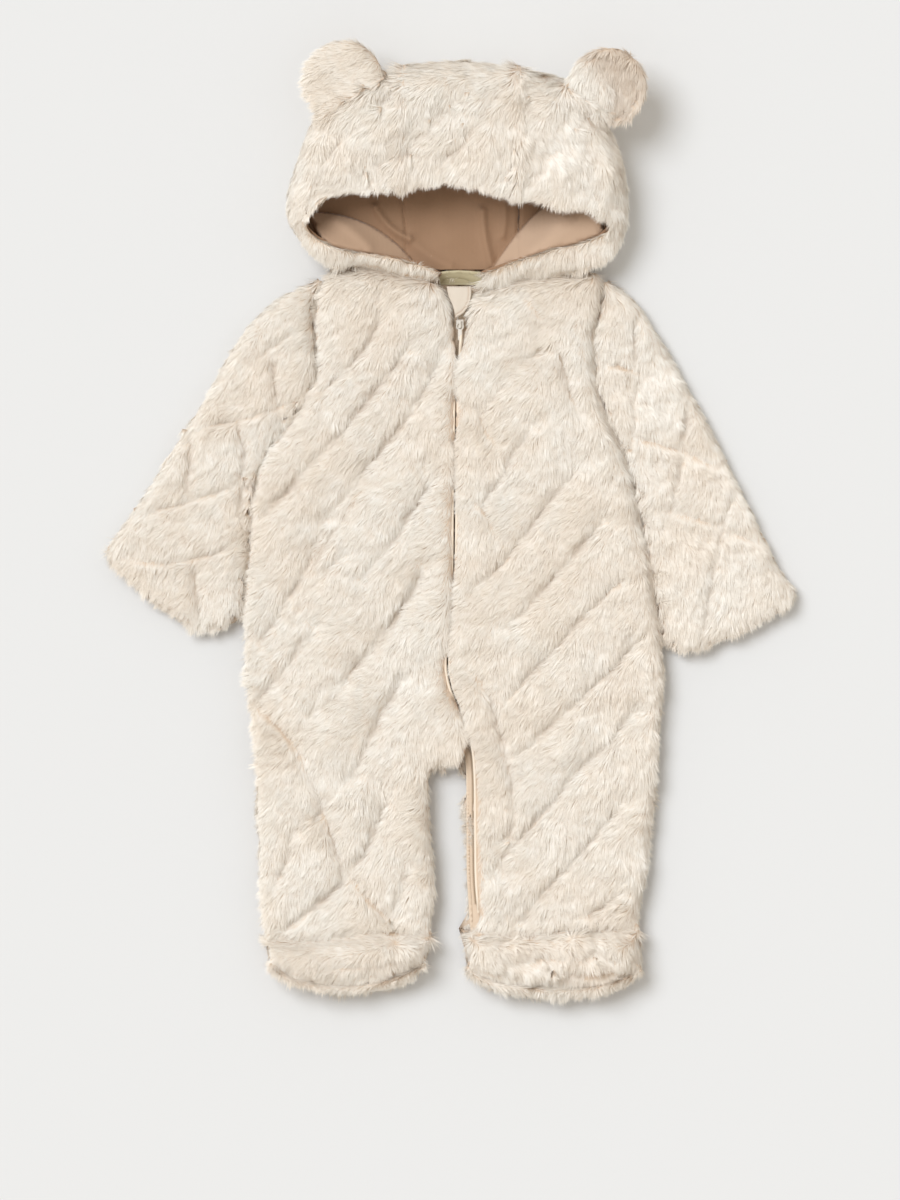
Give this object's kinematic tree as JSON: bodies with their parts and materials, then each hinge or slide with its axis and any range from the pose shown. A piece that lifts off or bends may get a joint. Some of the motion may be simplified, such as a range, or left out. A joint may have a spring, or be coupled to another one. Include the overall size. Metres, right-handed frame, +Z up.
{
  "type": "hooded footed baby sleepsuit",
  "caption": "Hooded, footed baby sleepsuit in quilted cream fur cloth with round ears and a curving front zip, laid flat on its back.",
  "frame": {"origin": "under the middle of the torso, on the flat underside of the back panel, which lies on the surface", "axes": "+X to the right as one looks down on the front (the wearer's left), +Y from the feet to the hood, +Z up from the surface"},
  "size_m": [0.5545, 0.7677, 0.0625],
  "materials": {
    "fur": "cream rabbit-type faux fur, 8 to 10 mm pile, quilted",
    "lining": "tan cotton jersey, matt",
    "khaki_satin": "khaki satin tape, soft sheen",
    "flap_jersey": "cream jersey with a bound edge",
    "zip_satin": "cream woven zip tape, slight sheen",
    "zip_coil": "moulded cream coil",
    "slider_metal": "off-white paint over cast metal"
  },
  "bodies": {
    "root": {"back": "fur", "front_right": "fur", "front_left": "fur", "sleeve_right": "fur", "sleeve_left": "fur", "foot_right": "fur", "foot_left": "fur", "sole_right": "fur", "sole_left": "fur", "hood_side_right": "fur", "hood_centre": "fur", "hood_side_left": "fur", "ear_right": "fur", "ear_left": "fur", "lining_side_right": "lining", "lining_centre": "lining", "lining_side_left": "lining", "neck_tape": "khaki_satin", "chin_guard": "flap_jersey", "zip_tape": "zip_satin", "zip_chain": "zip_coil", "zip_slider": "slider_metal"},
    "pull": {"zip_pull": "slider_metal"}
  },
  "joints": [
    {"name": "zip_pull_swing", "type": "hinge", "parent": "root", "child": "pull", "pos_m": [0.006, 0.1561, 0.0169], "axis": [-1, 0, 0], "range_deg": [0, 100]}
  ]
}
